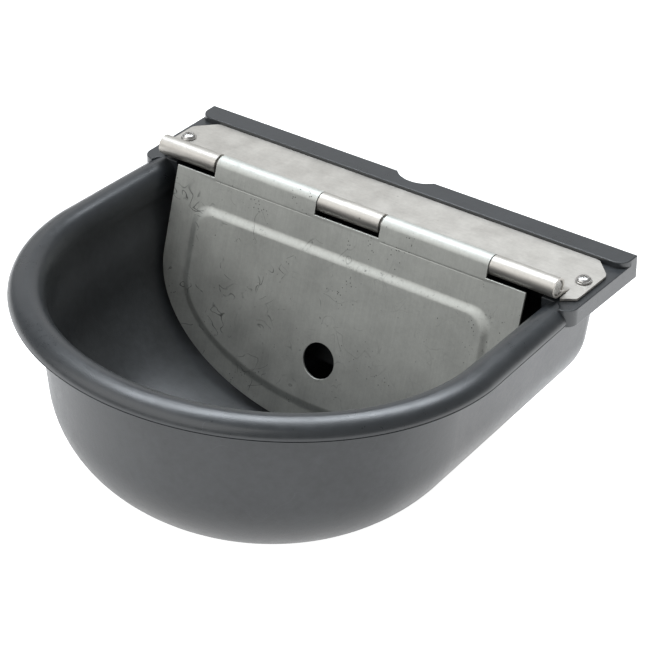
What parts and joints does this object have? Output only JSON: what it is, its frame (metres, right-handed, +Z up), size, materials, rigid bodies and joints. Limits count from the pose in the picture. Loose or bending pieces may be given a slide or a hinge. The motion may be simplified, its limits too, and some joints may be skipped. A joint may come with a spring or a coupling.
{
  "type": "livestock water trough",
  "caption": "Wall-hung livestock drinking bowl in dark plastic, with a float valve behind a hinged stainless steel cover flap.",
  "frame": {"origin": "bottom centre of the whole object: midway across it, midway between the front of the lip and the end of the inlet stub, level with the lowest point of the bowl", "axes": "+X along the back edge, +Y from the drinking side towards the wall, +Z up"},
  "size_m": [0.31, 0.2966, 0.1453],
  "materials": {
    "bowl_plastic": "satin moulded anthracite plastic",
    "stainless": "rolled stainless sheet, fine vertical grain",
    "steel_fastener": "bright stainless fastener",
    "brass": "turned brass",
    "valve_plastic": "natural white acetal",
    "black_rubber": "matt black rubber",
    "float_plastic": "black foamed plastic",
    "strainer_mesh": "woven stainless mesh"
  },
  "bodies": {
    "bowl": {"bowl_body": "bowl_plastic", "hinge_plate": "stainless", "hinge_pin": "steel_fastener", "cover_screw_left": "steel_fastener", "cover_screw_right": "steel_fastener", "screw_insert_left": "brass", "screw_insert_right": "brass", "valve_body": "valve_plastic", "valve_nozzle": "brass", "inlet_strainer": "strainer_mesh", "lock_nut": "brass", "inner_washer": "black_rubber", "outer_washer": "black_rubber", "pivot_pin": "steel_fastener", "pivot_clip": "steel_fastener"},
    "flap": {"cover_flap": "stainless"},
    "float": {"float_arm": "steel_fastener", "float_block": "float_plastic", "float_bolt": "steel_fastener", "float_nut": "steel_fastener"},
    "plunger": {"valve_plunger": "valve_plastic", "plunger_seal": "black_rubber"},
    "drain_plug": {"drain_plug": "black_rubber"}
  },
  "joints": [
    {"name": "flap_hinge", "type": "hinge", "parent": "bowl", "child": "flap", "pos_m": [0, 0.0716, 0.1392], "axis": [-1, 0, 0], "range_deg": [0, 180]},
    {"name": "float_arm_pivot", "type": "hinge", "parent": "bowl", "child": "float", "pos_m": [0, 0.0953, 0.0746], "axis": [-1, 0, 0], "range_deg": [0, 20]},
    {"name": "plunger_slide", "type": "slide", "parent": "bowl", "child": "plunger", "axis": [0, 1, 0], "range_m": [0, 0.0042]},
    {"name": "drain_plug_lift", "type": "slide", "parent": "bowl", "child": "drain_plug", "axis": [0, 0, 1], "range_m": [0, 0.03]}
  ],
  "couplings": [
    {"joint": "plunger_slide", "follows": "float_arm_pivot", "m_per_rad": 0.012}
  ]
}
